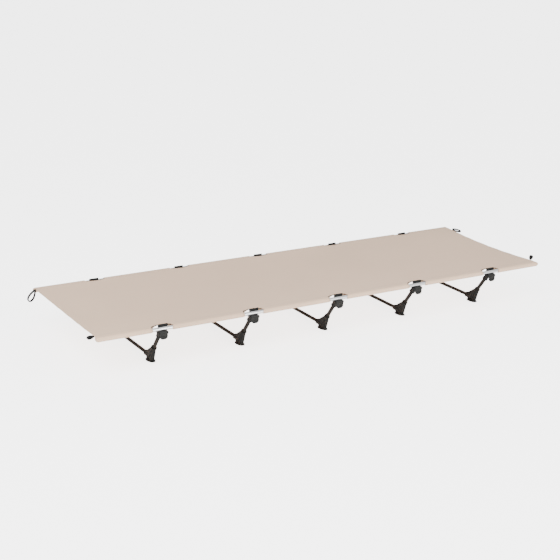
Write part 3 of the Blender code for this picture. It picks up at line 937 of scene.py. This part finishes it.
def clip_added(bm):
    half, back = CLIP_WIDTH / 2, JAW + CLIP_WALL
    sweep = CAM_RADIUS + CAM_THROW + RUNNING_GAP + CAM_CLEARANCE
    out = PIVOT.y - RAIL_POINT.y
    drop = RAIL_POINT.z - PIVOT.z
    across = Vector((half, 0, 0))
    add_block(bm, at_rail(-sweep - out, -drop) - across, at_rail(-back, 0) + across)
    lip_low, lip_high = at_rail(-JAW + 2 * JAW_STEP, -JAW), at_rail(-back, LIP_HEIGHT)
    add_block(bm, lip_low + Vector((LIP_SHIFT - half, 0, 0)), lip_high + Vector((LIP_SHIFT + half, 0, 0)))
    mouth = CLIP_SOCKET_TOP - CLIP_SOCKET
    add_bar(bm, at_strut(mouth), at_strut(CLIP_SOCKET_TOP), STRUT_RADIUS + SOCKET_WALL)
    add_bar(bm, at_strut(mouth), at_strut(mouth + COLLAR), STRUT_RADIUS + SOCKET_WALL + COLLAR_RISE)
    for x in (-half, half - EAR):
        low = at_rail(-out, -drop - EAR_RADIUS) + Vector((x, 0, 0))
        high = at_rail(-JAW, -drop + EAR_RADIUS) + Vector((x + EAR, 0, 0))
        add_block(bm, low, high)
        centre = at_rail(-out, -drop)
        add_bar(bm, centre + Vector((x, 0, 0)), centre + Vector((x + EAR, 0, 0)), EAR_RADIUS)
    for x in CLIP_RIBS:
        rib = [at_rail(-back, -0.001), at_rail(-back - 0.0035, -0.009), at_rail(-back, -drop)]
        add_plate(bm, [(p.y, p.z) for p in rib], CLIP_RIB, upright(x))


def clip_cut(bm):
    out, drop = PIVOT.y - RAIL_POINT.y, RAIL_POINT.z - PIVOT.z
    centre = at_rail(-out, -drop)
    mouth = CLIP_SOCKET_TOP - CLIP_SOCKET
    add_bar(bm, at_strut(mouth - CUT_PAST), at_strut(CLIP_SOCKET_TOP - CLIP_FLOOR + GAP), STRUT_RADIUS + GAP)
    along = Vector((CLIP_WIDTH, 0, 0))
    add_bar(bm, RAIL_POINT - along, RAIL_POINT + along, JAW)
    add_block(bm, at_rail(-JAW + JAW_STEP, 0) - along, at_rail(CLIP_WIDTH, CLIP_WIDTH) + along)
    add_bar(bm, centre - along, centre + along, PIN_RADIUS + GAP, 24)


def tab_outline(margin=0.0):
    """The latch's tab seen from outside, with round lower corners, from its pivot down."""
    half = CLIP_WIDTH / 2 - EAR - RUNNING_GAP - margin
    low = -TAB_LENGTH + margin
    corner = 0.75 * half
    points, steps = [(-half, 0), (-half, low + corner)], 10
    for i in range(1, steps):
        turn = math.pi / 2 * i / steps
        points.append((-half + corner * (1 - math.cos(turn)), low + corner * (1 - math.sin(turn))))
    points.append((-half + corner, low))
    return points + [(-x, z) for x, z in reversed(points)]


FACING = Matrix(((1, 0, 0, 0), (0, 0, 1, 0), (0, 1, 0, 0), (0, 0, 0, 1)))


def latch_added(bm):
    half = CLIP_WIDTH / 2 - EAR - RUNNING_GAP
    pivot = Vector((0, PIVOT.y, PIVOT.z))
    lean = (RAIL_POINT - pivot).normalized()
    tab = pivot + Vector((0, -CAM_RADIUS + TAB / 2, 0))
    add_plate(bm, tab_outline(), TAB, Matrix.Translation(tab) @ FACING)
    along = Vector((half, 0, 0))
    add_bar(bm, pivot + lean * CAM_THROW - along, pivot + lean * CAM_THROW + along, CAM_RADIUS)
    pin = Vector((CLIP_WIDTH / 2 + PIN_PROUD, 0, 0))
    add_bar(bm, pivot - pin, pivot + pin, PIN_RADIUS, 24)


def latch_cut(bm):
    pivot = Vector((0, PIVOT.y, PIVOT.z))
    face = pivot + Vector((0, -CAM_RADIUS, -TAB_RIM))
    outline = [(x, z * 0.9) for x, z in tab_outline(TAB_RIM)]
    add_plate(bm, outline, 2 * TAB_RECESS, Matrix.Translation(face) @ FACING)


def grip_ribs():
    """Ribs for a finger, low on the latch's face."""
    bm = bmesh.new()
    for i in range(3):
        z = PIVOT.z - TAB_LENGTH + GRIP_START + GRIP_PITCH * i
        reach = 0.0058 + 0.0012 * i
        y = PIVOT.y - CAM_RADIUS + TAB_RECESS
        add_bar(bm, (-reach, y, z), (reach, y, z), GRIP_RIB, 16, GRIP_RIB / 2)
    return linked("ribs", bm)


def add_legs(paints):
    plastic, lever, metal, rubber = paints
    hub = moulded("hub", hub_added, hub_cut, 0.0008, 0.45)
    clip = moulded("clip", clip_added, clip_cut, 0.0007, 0.5)
    latch = moulded("latch", latch_added, latch_cut, 0.0006, 0.5)
    sole, ribs = sole_mesh(), grip_ribs()
    rod_end = NODE.y + ROD_SOCKET_REACH - SOCKET_INSERT + GAP
    rod = tube("rod", (0, rod_end, NODE.z), (0, -rod_end, NODE.z), ROD_RADIUS)
    strut_low = at_strut(STRUT_SOCKET_REACH - SOCKET_INSERT + GAP)
    strut = tube("strut", strut_low, at_strut(CLIP_SOCKET_TOP - CLIP_FLOOR), STRUT_RADIUS)
    for number, x in enumerate(LEG_X, 1):
        leg = f"leg_{number}"
        stand = Matrix.Translation((x, 0, 0))
        made = copy_of(rod, f"{leg}_rod", stand)
        settle(made, leg, metal, "leg_tube", f"{leg}_cross_rod")
        for side in SIDES:
            label = f"{leg}_{side}"
            place = stand if side == "front" else stand @ HALF_TURN
            settle(copy_of(hub, f"{label}_hub", place), leg, plastic, "black_plastic", f"{label}_foot_hub")
            settle(copy_of(sole, f"{label}_sole", place), leg, rubber, "black_plastic")
            settle(copy_of(strut, f"{label}_tube", place), leg, metal, "leg_tube", f"{label}_strut")
            settle(copy_of(clip, f"{label}_clip", place), leg, plastic, "black_plastic", f"{label}_rail_clip")
            lever_piece = copy_of(latch, f"{label}_lever", place)
            settle(lever_piece, f"{label}_latch", lever, "latch_plastic", f"{label}_latch")
            settle(copy_of(ribs, f"{label}_grip_ribs", place), f"{label}_latch", lever, "latch_plastic")
    for blank in (hub, clip, latch, sole, ribs, rod, strut):
        bpy.data.objects.remove(blank)


# The pull loops


def loop_path(reach, breadth, lying):
    """A ring that starts at the origin and reaches out along X, a teardrop unless it lies flat."""
    points, steps, inset = [], 40, LOOP_THICKNESS / 2 + GAP
    for i in range(steps):
        turn = 2 * math.pi * i / steps
        along = (1 - math.cos(turn)) / 2
        narrowing = 1.0 if lying else math.sqrt(along)
        across = (breadth / 2 - inset) * math.sin(turn) * narrowing
        spot = Vector((inset + along * (reach - 2 * inset), across, 0))
        points.append(spot if lying else Vector((spot.x, 0, spot.y)))
    return points


def add_loops(webbing):
    for corner, (reach, breadth, drop, lying) in LOOPS.items():
        side_name, end_name = corner.split("_")
        end, body = ENDS[end_name], f"{corner}_pull_loop"
        path = loop_path(reach, breadth, lying)
        axis = Vector((0, 0, 1)) if lying else Vector((0, 1, 0))
        normals = []
        for i, point in enumerate(path):
            along = path[(i + 1) % len(path)] - path[i - 1]
            normals.append(along.cross(axis).normalized())
        width = LYING_WIDTH if lying else LOOP_WIDTH
        loop = swept(f"{corner}_loop", path, normals, width, LOOP_THICKNESS, closed=True)
        turn = Matrix.Rotation(math.radians(drop), 4, "Y")
        if end < 0:
            turn = HALF_TURN @ turn
        loop.data.transform(Matrix.Translation(LOOP_HINGES[body]) @ turn)
        settle(loop, body, webbing, "black_webbing", body)
        hinge = LOOP_HINGES[body]
        spots = [end * (abs(hinge.x) - LOOP_ROOT * (1 - i / 7)) for i in range(7)]
        path = [on_sheet(x, hinge.y) - UP * ROOT_DROP for x in spots]
        patch = swept(f"{corner}_loop_root", path, [UP] * len(path), LOOP_WIDTH, LOOP_STRAP)
        settle(patch, "bed", webbing, "black_webbing")


def add_everything():
    cloth = cloth_paint("cot_fabric", (0.83, 0.585, 0.41), (0.78, 0.55, 0.385))
    thread = thread_paint("sand_thread", (0.50, 0.42, 0.35), (0.36, 0.30, 0.25))
    webbing = webbing_paint()
    plastic = plastic_paint("black_plastic", (0.010, 0.010, 0.010), (0.026, 0.025, 0.024), 0.6)
    lever = plastic_paint("latch_plastic", (0.018, 0.018, 0.017), (0.042, 0.041, 0.039), 0.5)
    rubber = plastic_paint("foot_rubber", (0.005, 0.005, 0.005), (0.016, 0.015, 0.014), 0.75)
    add_sheet(cloth, thread, webbing)
    add_rails(aluminium_paint())
    add_legs((plastic, lever, tube_paint(), rubber))
    add_loops(webbing)


add_camera()
add_studio()
add_everything()
